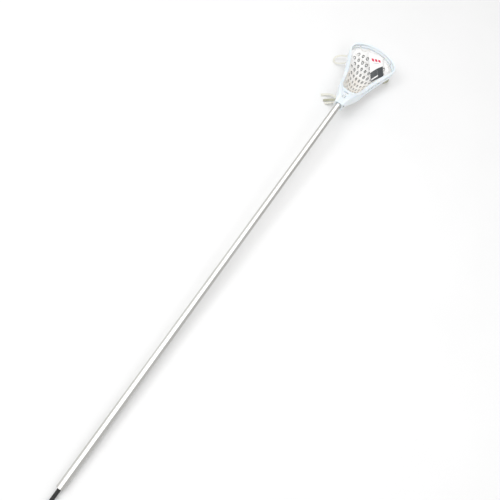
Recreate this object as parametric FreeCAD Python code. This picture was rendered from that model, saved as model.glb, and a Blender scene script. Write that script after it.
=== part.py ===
"""A men's long-pole lacrosse stick lying on its back, open face up.

Frame: +X runs along the stick from the butt end to the scoop, +Z points out of
the head's open face and +Y is to the left when looking from butt to scoop with
the face up. The origin is the centre of the shaft's butt end. Millimetres.
"""
import FreeCAD, Part
import math
import os

V = FreeCAD.Vector

# ---- driving dimensions ---------------------------------------------------

# shaft: one bare octagonal alloy tube, just under 60 inches long
SHAFT_LENGTH = 1516.0
SHAFT_WIDTH = 22.0          # across Y
SHAFT_DEPTH = 25.4          # across Z
SHAFT_CORNER = 6.6          # how much of each corner the diagonal flats take
SHAFT_WALL = 1.3
SHAFT_EDGE_R = 1.0

# head: how far the shaft goes in, and where the throat's mouth is
SOCKET_DEPTH = 52.0
THROAT_X = SHAFT_LENGTH - SOCKET_DEPTH
SOCKET_GAP = 0.2            # between shaft and socket all round
SOCKET_END_WALL = 10.0
# the octagon round the socket: width, depth, corner and height of its centre
SOCKET_MOUTH = (35.0, 34.0, 9.0, 0.0)
SOCKET_BACK = (30.0, 31.0, 8.0, -2.0)

# the head's outline from above: distance from the throat's mouth, half width
RIM = (
    (0.0, 17.5), (28.0, 21.0), (60.0, 32.0), (92.0, 43.0), (122.0, 49.5), (150.0, 54.0),
    (180.0, 62.0), (210.0, 72.0), (240.0, 83.0), (262.0, 91.5), (281.0, 95.0),
)
SCOOP_TIP = 322.0
SCOOP_POWER = 2.05          # roundness of the scoop's superellipse
# height of the head's upper and lower edges along its length
TOP_EDGE = (
    (0.0, 17.5), (30.0, 18.0), (60.0, 15.0), (82.0, 7.0), (108.0, -5.0), (138.0, -14.0),
    (175.0, -19.0), (225.0, -21.0), (265.0, -21.0), (298.0, -15.0), (324.0, -7.0),
)
LOW_EDGE = (
    (0.0, -17.0), (25.0, -22.0), (60.0, -35.0), (100.0, -46.0), (140.0, -53.0), (180.0, -56.0),
    (220.0, -55.0), (255.0, -51.0), (285.0, -43.0), (306.0, -31.0), (324.0, -12.0),
)
TOP_RAIL_WIDTH = 11.0
SCOOP_LIP_WIDTH = 5.5       # the upper rail narrows to this between the two stations below
LIP_FROM = 225.0
LIP_TO = 290.0
TOP_RAIL_HEIGHT = 8.0
LOW_RAIL_WIDTH = 9.0
LOW_RAIL_HEIGHT = 8.0
SIDEWALL_INSET = 1.5
SIDEWALL = 4.0
SCOOP_START = 256.0         # where the side walls turn into the scoop
SCOOP_OVERLAP = 24.0        # how far they run on beside it
SCOOP_THICK = 6.0
SCOOP_RAKE = 20.0           # how far the scoop's foot lies inside its lip
LIP_Z = -4.0                # the rake is measured between these two heights
FOOT_Z = -52.0

# string holes: round the scoop, and along each lower rail
SCOOP_HOLES = 7
SCOOP_HOLE_STEP = 0.043     # share of the outline from one hole to the next
SCOOP_HOLE_DROP = 13.0      # below the head's upper edge
SCOOP_HOLE_R = 2.2
LOW_HOLES = 9
LOW_HOLE_START = 114.0
LOW_HOLE_STEP = 17.0
LOW_HOLE_INSET = 4.6
LOW_HOLE_R = 1.9

# side windows: start and end along the head, and how far the top leans to the scoop
WINDOWS = ((112.0, 142.0), (150.0, 184.0), (192.0, 224.0), (232.0, 254.0))
WINDOW_LEAN = 8.0
WINDOW_R = 3.0
WINDOW_ABOVE_LOW_RAIL = 2.0
WINDOW_BELOW_TOP_RAIL = 1.0

# throat: plates between the rails, a ribbed triangle and a cross slot in the upper one
WEB_END = 102.0
WEB_TOP_THICK = 7.0
WEB_RECESS = 2.5            # the upper plate lies this far below the rails
WEB_LOW_THICK = 4.5
LOW_GAP_X = 52.0
LOW_GAP_R = 12.0
RECESS_FLOOR = 13.4
RECESS_TIP = 18.0
RECESS_END = 47.0
SLOT_X = 53.5
SLOT_LENGTH = 3.8
SLOT_WIDTH = 18.0
SLOT_FLOOR = -4.0

# ball stop: the round end of the pocket at the throat
STOP_CENTRE = 112.0
STOP_R = 42.0
STOP_WALL = 4.0
PAD_THICK = 3.0
PAD_HALF_ANGLE = 44.0
PAD_LOW = -30.0
PAD_HIGH = -3.0

# head screw in the right-hand side of the throat
SCREW_X = 8.0
SCREW_R = 1.9
SCREW_HEAD_R = 4.0
SCREW_LENGTH = 11.0

# butt plug: a moulded rubber plug with a thin round peg
PLUG_DEPTH = 30.0
PLUG_RECESS = 1.0
PLUG_GAP = 0.06
PEG_R = 5.5
PEG_LENGTH = 60.0
PEG_TIP_R = 2.0

# pocket: station, depth of the middle below the frame's zero
POCKET_MIDDLE = (
    (75.0, -14.0), (80.0, -22.0), (89.0, -37.0), (104.0, -56.0), (128.0, -73.0), (160.0, -82.0),
    (190.0, -82.0), (220.0, -75.0), (250.0, -63.0), (272.0, -50.0), (288.0, -38.0), (297.0, -31.0),
    (301.0, -28.0),
)
POCKET_THICK = 2.6
POCKET_INSET = 13.5         # mesh edge from the rim along the side walls
SCOOP_EXTRA_INSET = 6.0     # how much more round the scoop, reached over this stretch
SCOOP_EXTRA_FROM = 235.0
SCOOP_EXTRA_TO = 280.0
PAD_CLEARANCE = 0.5
FLAT_FOOT_END = 84.0        # up to here the mesh's edge is only a little above its middle
POCKET_EDGE_RISE = 12.0     # mesh edge above the head's lower edge
POCKET_END_SAG = 3.0        # least depth of the mesh at either end
POCKET_POWER = 2.2          # shape of the mesh across the pocket
POCKET_SPANS = 6            # spans from its middle to its edge

SHOOTER_AT = (214.0, 237.0, 272.0)
SHOOTER_WIDTH = 8.0
SHOOTER_THICK = 1.4
SHOOTER_LIFT = 0.2          # above the mesh

KNOT_R = 3.0
THROAT_KNOT = (52.0, 0.0, -31.0)
THROAT_KNOT_R = 7.0

# free lace ends: where each runs once it has left the head
FREE_LACES = {
    "lace_loop_left": (
        (251.0, 88.6, -47.5), (252.5, 102.0, -55.0), (251.5, 115.5, -64.0), (247.2, 125.5, -71.5),
        (237.5, 130.0, -77.0), (227.6, 126.5, -80.0), (223.5, 116.5, -79.5), (224.0, 105.5, -75.0),
        (225.5, 95.0, -67.5), (225.5, 86.0, -59.5), (223.0, 79.0, -51.5),
    ),
    "throat_lace_1": (
        (55.5, 4.0, -35.0), (59.0, 20.0, -43.0), (68.0, 38.0, -53.0), (75.0, 56.0, -65.0),
        (71.0, 73.0, -74.0), (60.0, 86.0, -76.5),
    ),
    "throat_lace_2": (
        (52.0, 4.8, -35.6), (53.0, 20.0, -44.5), (54.5, 34.0, -55.5), (53.0, 48.0, -66.0),
        (45.0, 67.0, -76.0),
    ),
    "throat_lace_3": (
        (48.5, 4.0, -35.0), (46.0, 16.0, -44.5), (46.0, 27.0, -55.5), (43.5, 40.0, -67.0),
        (37.0, 57.0, -76.0),
    ),
    "lace_tail_right": (
        (238.0, -80.0, -55.5), (250.0, -85.0, -61.0), (263.0, -89.0, -68.0), (277.0, -89.0, -74.0),
        (290.0, -85.0, -78.0),
    ),
}

STRING_D = 2.6
LACE_D = 3.0

# the strings' zigzags: every other point is an odd one, further in or further down
SIDE_STRING_POINTS = 13
SIDE_STRING_START = 108.0
SIDE_STRING_STEP = 12.0
SIDE_STRING_INSETS = (13.4, 10.6)
SIDE_STRING_RISES = (14.5, 12.5)
SCOOP_STRING_POINTS = 13
SCOOP_STRING_INSETS = (16.2, 20.5)
SCOOP_STRING_DROPS = (13.0, 18.0)
THROAT_STRING_POINTS = 9
THROAT_STRING_STEP = 12.0   # degrees round the ball stop
THROAT_STRING_RADII = (33.4, 37.2)
THROAT_STRING_Z = (-9.0, -11.5)
THROAT_STRING_DROP = 16.0   # at its ends

# retail card resting in the pocket: its four corners
CARD_CORNERS = (
    (289.5, 26.5, -14.0), (300.0, -27.5, -14.0), (243.0, -70.5, -33.5), (197.0, -43.5, -42.5),
)
CARD_THICK = 0.8

CORD_CUT = 0.45             # share of the shorter run that each arc of a cord takes

FAR = 400.0                 # longer than the head in every direction
RIM_SAMPLES = 72


# ---- helpers ---------------------------------------------------------------

def export(shape, node):
    """Write one node, and say how many solids it has and how large it is."""
    solids = shape.Solids
    shape = solids[0] if len(solids) == 1 else Part.makeCompound(solids)
    shape.exportStep("parts/%s.step" % node)
    box = shape.BoundBox
    print("%-24s solids %d valid %s volume %9.1f  x %.1f..%.1f y %.1f..%.1f z %.1f..%.1f" % (
        node, len(solids), shape.isValid(), shape.Volume,
        box.XMin, box.XMax, box.YMin, box.YMax, box.ZMin, box.ZMax))


def at(x, y, z):
    """A point given from the throat's mouth."""
    return V(THROAT_X + x, y, z)


def spline(points):
    curve = Part.BSplineCurve()
    curve.interpolate(points)
    return curve


def line(a, b):
    return Part.LineSegment(a, b).toShape()


def point_at(curve, x, low, high):
    """The curve's point at x, between a parameter below x and one above it, by halving."""
    for _ in range(40):
        middle = (low + high) / 2
        if curve.value(middle).x < x:
            low = middle
        else:
            high = middle
    return curve.value(low)


def height(table, x):
    """The second number of a table at x, read from the same spline that shapes the solid."""
    curve = spline([V(px, 0, pz) for px, pz in table])
    return point_at(curve, x, curve.FirstParameter, curve.LastParameter).z


def octagon(x, width, depth, corner, z=0.0):
    """Closed octagonal wire across the stick at x."""
    w = width / 2
    d = depth / 2
    ring = [(w - corner, d), (w, d - corner), (w, corner - d), (w - corner, -d),
            (corner - w, -d), (-w, corner - d), (-w, d - corner), (corner - w, d)]
    points = [V(x, y, z + up) for y, up in ring]
    return Part.makePolygon(points + points[:1])


def prism(x0, x1, width, depth, corner):
    face = Part.Face(octagon(x0, width, depth, corner))
    return face.extrude(V(x1 - x0, 0, 0))


def rim_points():
    """The left half of the head's outline, from the throat round to the scoop's tip."""
    side = [V(x, w, 0) for x, w in RIM]
    corner_x, corner_w = RIM[-1]
    for degrees in (22.0, 40.0, 56.0, 73.0, 90.0):
        turn = math.radians(degrees)
        x = corner_x + (SCOOP_TIP - corner_x) * math.sin(turn) ** (2 / SCOOP_POWER)
        w = corner_w * math.cos(turn) ** (2 / SCOOP_POWER) if degrees < 90.0 else 0.0
        side.append(V(x, w, 0))
    return side


def rim_curve():
    left = rim_points()
    right = [V(p.x, -p.y, 0) for p in left[:-1]]
    return spline(right + left[::-1])


RIM_CURVE = rim_curve()


def upper_rail_width(x):
    """Width of the upper rail at x: a wide rail along the sides, a narrow lip round the scoop."""
    share = min(max((x - LIP_FROM) / (LIP_TO - LIP_FROM), 0.0), 1.0)
    eased = share * share * (3 - 2 * share)
    return TOP_RAIL_WIDTH + (SCOOP_LIP_WIDTH - TOP_RAIL_WIDTH) * eased


def rim_offset(inset, z):
    """The rim moved inwards, as one spline at height z. The inset is a number, or a function of x."""
    first = RIM_CURVE.FirstParameter
    span = RIM_CURVE.LastParameter - first
    points = []
    for i in range(RIM_SAMPLES + 1):
        u = first + span * i / RIM_SAMPLES
        place = RIM_CURVE.value(u)
        tangent = RIM_CURVE.tangent(u)[0]
        inward = V(-tangent.y, tangent.x, 0)
        here = inset(place.x) if callable(inset) else inset
        points.append(at(place.x + inward.x * here, place.y + inward.y * here, z))
    return spline(points)


def band_wire(outer, inner, z):
    """The outline of a band that follows the rim between two insets."""
    outside = rim_offset(outer, z)
    inside = rim_offset(inner, z)
    starts = line(outside.StartPoint, inside.StartPoint)
    ends = line(inside.EndPoint, outside.EndPoint)
    return Part.Wire([outside.toShape(), ends, inside.toShape(), starts])


def rim_outline(inset, z):
    """The whole area inside an inset of the rim, closed straight across the throat."""
    side = rim_offset(inset, z)
    return Part.Wire([side.toShape(), line(side.EndPoint, side.StartPoint)])


def rim_block(inset_above, inset_below):
    """Everything inside the rim, leaning inwards from the lip down to the foot."""
    lip = rim_outline(inset_above, LIP_Z)
    foot = rim_outline(inset_below, FOOT_Z)
    return Part.makeLoft([lip, foot], True, True)


def band(outer, inner):
    return Part.Face(band_wire(outer, inner, -100.0)).extrude(V(0, 0, 150))


def strip(low, low_shift, high, high_shift):
    """Everything between two edge curves seen from the side."""
    under = spline([at(x, -FAR / 2, z + low_shift) for x, z in low])
    over = spline([at(x, -FAR / 2, z + high_shift) for x, z in high])
    left = line(under.StartPoint, over.StartPoint)
    right = line(under.EndPoint, over.EndPoint)
    face = Part.Face(Part.Wire([under.toShape(), right, over.toShape(), left]))
    return face.extrude(V(0, FAR, 0))


def cord(node, route, diameter):
    """A round cord along straight runs joined by tangent arcs, with its radii printed."""
    edges = []
    radii = []
    last = route[0]
    for before, here, after in zip(route, route[1:], route[2:]):
        back = before.sub(here)
        ahead = after.sub(here)
        cut = CORD_CUT * min(back.Length, ahead.Length)
        turn = math.pi - back.getAngle(ahead)
        radius = cut / math.tan(turn / 2)
        back.normalize()
        ahead.normalize()
        enter = here + back * cut
        leave = here + ahead * cut
        inward = (back + ahead).normalize()
        middle = here + inward * (math.hypot(cut, radius) - radius)
        edges.append(line(last, enter))
        edges.append(Part.Arc(enter, middle, leave).toShape())
        radii.append(radius)
        last = leave
    edges.append(line(last, route[-1]))
    path = Part.Wire(edges)
    ring = Part.Wire(Part.Circle(route[0], route[1] - route[0], diameter / 2).toShape())
    tube = path.makePipeShell([ring], True, False)
    wanted = path.Length * math.pi * diameter ** 2 / 4
    print("%-24s length %.1f smallest radius %.1f radii %s volume / (section x length) %.3f" % (
        node, path.Length, min(radii), [round(r) for r in radii], tube.Volume / wanted))
    return tube


# ---- shaft and butt plug ---------------------------------------------------

def make_shaft():
    outer = prism(0, SHAFT_LENGTH, SHAFT_WIDTH, SHAFT_DEPTH, SHAFT_CORNER)
    long_edges = [e for e in outer.Edges if e.Length > SHAFT_LENGTH / 2]
    outer = outer.makeFillet(SHAFT_EDGE_R, long_edges)
    inner = prism(-1, SHAFT_LENGTH + 1, SHAFT_WIDTH - 2 * SHAFT_WALL, SHAFT_DEPTH - 2 * SHAFT_WALL,
                  SHAFT_CORNER - SHAFT_WALL * 0.6)
    screw_hole = Part.makeCylinder(SCREW_R + 0.1, SHAFT_WIDTH, at(SCREW_X, -SHAFT_WIDTH, 0), V(0, 1, 0))
    return outer.cut(inner).cut(screw_hole)


def make_butt_plug():
    tight = 2 * (SHAFT_WALL + PLUG_GAP)
    body = prism(PLUG_RECESS, PLUG_DEPTH, SHAFT_WIDTH - tight, SHAFT_DEPTH - tight,
                 SHAFT_CORNER - SHAFT_WALL * 0.6)
    peg = Part.makeCylinder(PEG_R, PEG_LENGTH + PLUG_RECESS + 2, V(PLUG_RECESS + 2, 0, 0), V(-1, 0, 0))
    tip = [e for e in peg.Edges if e.BoundBox.XMax < 1 - PEG_LENGTH]
    return body.fuse(peg.makeFillet(PEG_TIP_R, tip))


# ---- head ------------------------------------------------------------------

def make_socket():
    """The throat: a tapered octagonal block with an octagonal hole for the shaft."""
    mouth = octagon(THROAT_X, *SOCKET_MOUTH)
    back = octagon(THROAT_X + SOCKET_DEPTH + SOCKET_END_WALL, *SOCKET_BACK)
    return Part.makeLoft([mouth, back], True, True)


def make_shaft_hole():
    return prism(THROAT_X - 1, THROAT_X + SOCKET_DEPTH + SOCKET_GAP, SHAFT_WIDTH + 2 * SOCKET_GAP,
                 SHAFT_DEPTH + 2 * SOCKET_GAP, SHAFT_CORNER)


def make_web():
    """The plates that close the throat above and below, and the round wall of the ball stop."""
    inside = Part.Face(rim_outline(2.0, -FAR / 2)).extrude(V(0, 0, FAR))
    near = Part.makeBox(WEB_END, FAR, FAR, at(0, -FAR / 2, -FAR / 2))
    round_end = Part.makeCylinder(STOP_R, FAR, at(STOP_CENTRE, 0, -FAR / 2))
    plan = inside.common(near).cut(round_end)
    top = plan.common(strip(TOP_EDGE, -WEB_TOP_THICK, TOP_EDGE, -WEB_RECESS))
    low = plan.common(strip(LOW_EDGE, 0.5, LOW_EDGE, WEB_LOW_THICK))
    ring = Part.makeCylinder(STOP_R + STOP_WALL, FAR, at(STOP_CENTRE, 0, -FAR / 2)).cut(round_end)
    stop = ring.common(inside).common(near).common(strip(LOW_EDGE, 1.0, TOP_EDGE, -0.8))
    low_gap = Part.makeCylinder(LOW_GAP_R, 60, at(LOW_GAP_X, 0, -60))
    return top.fuse(stop).fuse(low.cut(low_gap))


def triangle(tip_x, tip_y, near_y, far_y):
    """A recess in the throat's upper face, from a tip to an edge across it."""
    corners = [(tip_x, tip_y), (RECESS_END, near_y), (RECESS_END, far_y), (tip_x, tip_y)]
    wire = Part.makePolygon([at(x, y, RECESS_FLOOR) for x, y in corners])
    return Part.Face(wire).extrude(V(0, 0, FAR))


def make_throat_recess():
    """The ribbed triangle and the cross slot in the throat's upper face."""
    return [triangle(RECESS_TIP, 1.2, 10.5, 4.4),
            triangle(RECESS_TIP, -1.2, -4.4, -10.5),
            triangle(RECESS_TIP + 4.0, 0.0, 2.6, -2.6),
            Part.makeBox(SLOT_LENGTH, SLOT_WIDTH, FAR, at(SLOT_X, -SLOT_WIDTH / 2, SLOT_FLOOR))]


def make_windows():
    """Side windows, cut across both walls at once."""
    cuts = []
    for start, end in WINDOWS:
        low = height(LOW_EDGE, (start + end) / 2) + LOW_RAIL_HEIGHT + WINDOW_ABOVE_LOW_RAIL
        high = height(TOP_EDGE, (start + end) / 2) - TOP_RAIL_HEIGHT - WINDOW_BELOW_TOP_RAIL
        corners = [(start, low), (end, low), (end + WINDOW_LEAN, high), (start + WINDOW_LEAN, high)]
        wire = Part.makePolygon([at(x, -FAR / 2, z) for x, z in corners + corners[:1]])
        block = Part.Face(wire).extrude(V(0, FAR, 0))
        upright = [e for e in block.Edges if abs(e.Length - FAR) < 1]
        cuts.append(block.makeFillet(WINDOW_R, upright))
    return cuts


def make_scoop_holes():
    """String holes spread along the scoop, each square to the rim."""
    first = RIM_CURVE.FirstParameter
    span = RIM_CURVE.LastParameter - first
    cuts = []
    for i in range(SCOOP_HOLES):
        u = first + span * (0.5 + SCOOP_HOLE_STEP * (i - (SCOOP_HOLES - 1) / 2))
        place = RIM_CURVE.value(u)
        tangent = RIM_CURVE.tangent(u)[0]
        inward = V(-tangent.y, tangent.x, -0.1)
        z = height(TOP_EDGE, place.x) - SCOOP_HOLE_DROP
        start = at(place.x, place.y, z).sub(V(inward).multiply(10))
        cuts.append(Part.makeCylinder(SCOOP_HOLE_R, 40, start, inward))
    return cuts


def make_low_rail_holes():
    """String holes through the lower rails, straight up and down."""
    cuts = []
    for side in (-1, 1):
        for i in range(LOW_HOLES):
            x = LOW_HOLE_START + LOW_HOLE_STEP * i
            w = height(RIM, x) - LOW_HOLE_INSET
            cuts.append(Part.makeCylinder(LOW_HOLE_R, 16, at(x, side * w, height(LOW_EDGE, x) - 4)))
    return cuts


def make_head():
    top_rail = band(0.0, upper_rail_width).common(strip(TOP_EDGE, -TOP_RAIL_HEIGHT, TOP_EDGE, 0.0))
    low_rail = band(0.4, LOW_RAIL_WIDTH).common(strip(LOW_EDGE, 0.0, LOW_EDGE, LOW_RAIL_HEIGHT))
    behind = Part.makeBox(SCOOP_START + SCOOP_OVERLAP, FAR, FAR, at(0, -FAR / 2, -FAR / 2))
    ahead = Part.makeBox(FAR, FAR, FAR, at(SCOOP_START, -FAR / 2, -FAR / 2))
    wall = band(SIDEWALL_INSET, SIDEWALL_INSET + SIDEWALL).common(strip(LOW_EDGE, 3.0, TOP_EDGE, -3.0))
    wall = wall.common(behind)
    scoop = rim_block(0.3, SCOOP_RAKE).cut(rim_block(SCOOP_THICK, SCOOP_RAKE + SCOOP_THICK))
    scoop = scoop.common(strip(LOW_EDGE, 0.6, TOP_EDGE, -0.6)).common(ahead)
    head = make_socket().fuse([make_web(), wall, low_rail, top_rail, scoop])
    for cut in make_windows() + make_throat_recess() + make_scoop_holes() + make_low_rail_holes():
        head = head.cut(cut)
    screw_hole = Part.makeCylinder(SCREW_R + 0.1, 30, at(SCREW_X, -40, 0), V(0, 1, 0))
    head = head.cut(make_shaft_hole()).cut(screw_hole)
    return head


def make_head_screw():
    """Self-tapping screw through the throat's right wall into the shaft."""
    seat = -height(RIM, SCREW_X)
    shank = Part.makeCylinder(SCREW_R, SCREW_LENGTH, at(SCREW_X, seat, 0), V(0, 1, 0))
    dome = Part.makeSphere(SCREW_HEAD_R * 1.25, at(SCREW_X, seat + 3.2, 0))
    skirt = Part.makeCylinder(SCREW_HEAD_R, 4, at(SCREW_X, seat - 4, 0), V(0, 1, 0))
    slot = Part.makeBox(SCREW_HEAD_R * 1.5, 1.2, 1.0, at(SCREW_X - SCREW_HEAD_R * 0.75, seat - 2.2, -0.5))
    cross = Part.makeBox(1.0, 1.2, SCREW_HEAD_R * 1.5, at(SCREW_X - 0.5, seat - 2.2, -SCREW_HEAD_R * 0.75))
    return shank.fuse(dome.common(skirt)).cut(slot).cut(cross)


def make_ball_stop():
    """Foam pad on the round end wall that the ball seats against."""
    block = Part.makeCylinder(STOP_R, FAR, at(STOP_CENTRE, 0, -FAR / 2), V(0, 0, 1))
    block = block.cut(Part.makeCylinder(STOP_R - PAD_THICK, FAR, at(STOP_CENTRE, 0, -FAR / 2)))
    reach = math.tan(math.radians(PAD_HALF_ANGLE)) * STOP_R
    centre = at(STOP_CENTRE, 0, PAD_LOW)
    wedge = Part.makePolygon([centre, at(STOP_CENTRE - STOP_R, reach, PAD_LOW),
                              at(STOP_CENTRE - STOP_R, -reach, PAD_LOW), centre])
    wedge = Part.Face(wedge).extrude(V(0, 0, PAD_HIGH - PAD_LOW))
    return block.common(wedge)


# ---- pocket and its strings ------------------------------------------------

def offset_half_width(x, inset):
    """Half width at x of the rim moved inwards by inset."""
    curve = rim_offset(inset, 0)
    tip = (curve.FirstParameter + curve.LastParameter) / 2
    return point_at(curve, THROAT_X + x, curve.LastParameter, tip).y


def pocket_half_width(x):
    """Half width of the mesh at x: along the side walls, or round the scoop or the ball stop."""
    into_scoop = (x - SCOOP_EXTRA_FROM) / (SCOOP_EXTRA_TO - SCOOP_EXTRA_FROM)
    into_scoop = min(max(into_scoop, 0.0), 1.0)
    wide = offset_half_width(x, POCKET_INSET + SCOOP_EXTRA_INSET * into_scoop)
    if x < STOP_CENTRE:
        seat = STOP_R - PAD_THICK - PAD_CLEARANCE
        wide = min(wide, math.sqrt(seat ** 2 - (STOP_CENTRE - x) ** 2))
    return wide


def pocket_section(x, edge_w, edge_z, middle_z, thick):
    """One crescent across the pocket: a sagging curve and the same curve inside it."""
    outer = []
    inner = []
    for i in range(-POCKET_SPANS, POCKET_SPANS + 1):
        share = i / POCKET_SPANS
        z = middle_z + (edge_z - middle_z) * abs(share) ** POCKET_POWER
        outer.append(at(x, edge_w * share, z))
        inner.append(at(x, (edge_w - thick) * share, z + thick))
    under = spline(outer)
    over = spline(inner[::-1])
    return Part.Wire([under.toShape(), line(under.EndPoint, over.StartPoint),
                      over.toShape(), line(over.EndPoint, under.StartPoint)])


def pocket_shell(lift, thick):
    """A shell along the pocket, lift above the mesh's underside."""
    sections = []
    for x, middle in POCKET_MIDDLE:
        edge = max(height(LOW_EDGE, x) + POCKET_EDGE_RISE, middle + POCKET_END_SAG)
        if x < FLAT_FOOT_END:
            edge = middle + POCKET_END_SAG
        wide = pocket_half_width(x) - lift
        sections.append(pocket_section(x, wide, edge + lift, middle + lift, thick))
    return Part.makeLoft(sections, True, False)


def make_shooting_laces():
    """Flat laces lying across the inside of the mesh near the scoop."""
    shell = pocket_shell(POCKET_THICK + SHOOTER_LIFT, SHOOTER_THICK)
    laces = []
    for x in SHOOTER_AT:
        slab = Part.makeBox(SHOOTER_WIDTH, FAR, FAR, at(x - SHOOTER_WIDTH / 2, -FAR / 2, -FAR / 2))
        laces.append(shell.common(slab))
    return laces


def sidewall_route(side):
    """Zigzag between the lower rail's holes and the edge of the mesh."""
    route = []
    for i in range(SIDE_STRING_POINTS):
        x = SIDE_STRING_START + SIDE_STRING_STEP * i
        w = height(RIM, x) - SIDE_STRING_INSETS[i % 2]
        route.append(at(x, side * w, height(LOW_EDGE, x) + SIDE_STRING_RISES[i % 2]))
    return route


def scoop_route():
    """Zigzag along the scoop between its holes and the top of the mesh."""
    first = RIM_CURVE.FirstParameter
    span = RIM_CURVE.LastParameter - first
    route = []
    for i in range(SCOOP_STRING_POINTS):
        u = first + span * (0.5 + SCOOP_HOLE_STEP / 2 * (i - (SCOOP_STRING_POINTS - 1) / 2))
        inset = SCOOP_STRING_INSETS[i % 2]
        place = RIM_CURVE.value(u)
        tangent = RIM_CURVE.tangent(u)[0]
        z = height(TOP_EDGE, place.x) - SCOOP_STRING_DROPS[i % 2]
        route.append(at(place.x - tangent.y * inset, place.y + tangent.x * inset, z))
    return route


def throat_route():
    """Zigzag round the ball stop between the pad and the foot of the mesh."""
    route = []
    last = (THROAT_STRING_POINTS - 1) / 2
    for i in range(THROAT_STRING_POINTS):
        turn = math.radians(THROAT_STRING_STEP * (i - last))
        radius = THROAT_STRING_RADII[i % 2]
        z = THROAT_STRING_Z[i % 2] - THROAT_STRING_DROP * ((i - last) / last) ** 2
        route.append(at(STOP_CENTRE - radius * math.cos(turn), radius * math.sin(turn), z))
    return route


def make_knots(routes):
    """A round knot on each end of every string that the head holds."""
    return Part.makeCompound([Part.makeSphere(KNOT_R, end) for r in routes for end in (r[0], r[-1])])


# ---- retail card -----------------------------------------------------------

def make_card():
    """A card resting in the pocket, its top against the scoop, one corner cut along the rail."""
    corners = [at(*c) for c in CARD_CORNERS]
    across = corners[1] - corners[0]
    down = corners[3] - corners[0]
    normal = across.cross(down).normalize()
    lean = (corners[2] - corners[0]).dot(normal)
    corners[2] = corners[2] - normal * lean
    face = Part.Face(Part.makePolygon(corners + corners[:1]))
    return face.extrude(normal * CARD_THICK)


# ---- write every node ------------------------------------------------------

def main():
    os.makedirs("parts", exist_ok=True)
    export(make_shaft(), "shaft_tube")
    export(make_butt_plug(), "butt_plug")
    export(make_head(), "head")
    export(make_head_screw(), "head_screw")
    export(make_ball_stop(), "ball_stop")
    export(pocket_shell(0.0, POCKET_THICK), "pocket_mesh")
    for number, lace in enumerate(make_shooting_laces(), 1):
        export(lace, "shooting_lace_%d" % number)
    held = {
        "sidewall_string_left": sidewall_route(1),
        "sidewall_string_right": sidewall_route(-1),
        "scoop_string": scoop_route(),
        "throat_string": throat_route(),
    }
    for node, route in held.items():
        export(cord(node, route, STRING_D), node)
    export(make_knots(held.values()), "string_knots")
    export(Part.makeSphere(THROAT_KNOT_R, at(*THROAT_KNOT)), "throat_knot")
    for node, points in FREE_LACES.items():
        export(cord(node, [at(*p) for p in points], LACE_D), node)
    export(make_card(), "retail_card")


main()
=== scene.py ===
"""The looks of the lacrosse stick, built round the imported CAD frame. Metres."""
import bmesh
import bpy
import math
import random
import numpy as np
from mathutils import Matrix, Vector
from mathutils.bvhtree import BVHTree


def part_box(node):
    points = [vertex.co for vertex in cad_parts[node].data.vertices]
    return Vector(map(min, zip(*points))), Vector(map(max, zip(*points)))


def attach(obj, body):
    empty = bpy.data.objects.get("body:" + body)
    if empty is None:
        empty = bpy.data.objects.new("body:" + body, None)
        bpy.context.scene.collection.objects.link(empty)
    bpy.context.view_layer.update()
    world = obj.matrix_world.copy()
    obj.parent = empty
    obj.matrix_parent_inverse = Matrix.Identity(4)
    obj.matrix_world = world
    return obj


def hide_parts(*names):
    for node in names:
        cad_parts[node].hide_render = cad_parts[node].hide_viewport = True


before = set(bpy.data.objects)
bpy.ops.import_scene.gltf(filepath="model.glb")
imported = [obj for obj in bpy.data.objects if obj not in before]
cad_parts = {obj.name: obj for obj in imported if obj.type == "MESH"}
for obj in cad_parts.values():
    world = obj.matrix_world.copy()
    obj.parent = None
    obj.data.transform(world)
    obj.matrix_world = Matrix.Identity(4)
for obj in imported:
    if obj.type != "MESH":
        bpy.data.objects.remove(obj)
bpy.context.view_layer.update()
random.seed(7)

# ---- driving dimensions, the same as the CAD's, in metres -------------------

THROAT_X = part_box("head")[0].x     # stations along the head are measured from the throat's mouth
RIM = (                     # station, half width of the outline
    (0.0, 0.0175), (0.028, 0.021), (0.060, 0.032), (0.092, 0.043), (0.122, 0.0495), (0.150, 0.054),
    (0.180, 0.062), (0.210, 0.072), (0.240, 0.083), (0.262, 0.0915), (0.281, 0.095),
)
SCOOP_TIP = 0.322
SCOOP_POWER = 2.05          # of the scoop's superellipse, and the turns at which it has a point
SCOOP_TURNS = (22.0, 40.0, 56.0, 73.0)
TOP_EDGE = (                # station, height
    (0.0, 0.0175), (0.030, 0.018), (0.060, 0.015), (0.082, 0.007), (0.108, -0.005), (0.138, -0.014),
    (0.175, -0.019), (0.225, -0.021), (0.265, -0.021), (0.298, -0.015), (0.324, -0.007),
)
LOW_EDGE = (                # station, height
    (0.0, -0.017), (0.025, -0.022), (0.060, -0.035), (0.100, -0.046), (0.140, -0.053), (0.180, -0.056),
    (0.220, -0.055), (0.255, -0.051), (0.285, -0.043), (0.306, -0.031), (0.324, -0.012),
)
SCOOP_THICK = 0.006
SCOOP_RAKE = 0.020          # the scoop's foot lies this far inside its lip
LIP_Z = -0.004
FOOT_Z = -0.052
SCOOP_HOLES = 7
SCOOP_HOLE_STEP = 0.043     # share of the outline from one hole to the next
SCOOP_HOLE_DROP = 0.013     # below the head's upper edge
STOP_CENTRE = 0.112
STOP_R = 0.042
PAD_THICK = 0.003
THROAT_KNOT = (0.052, 0.0, -0.031)
SHOOTER_AT = (0.214, 0.237, 0.272)
SHOOTER_WIDTH = 0.008
STRING_D = 0.0026

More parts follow.
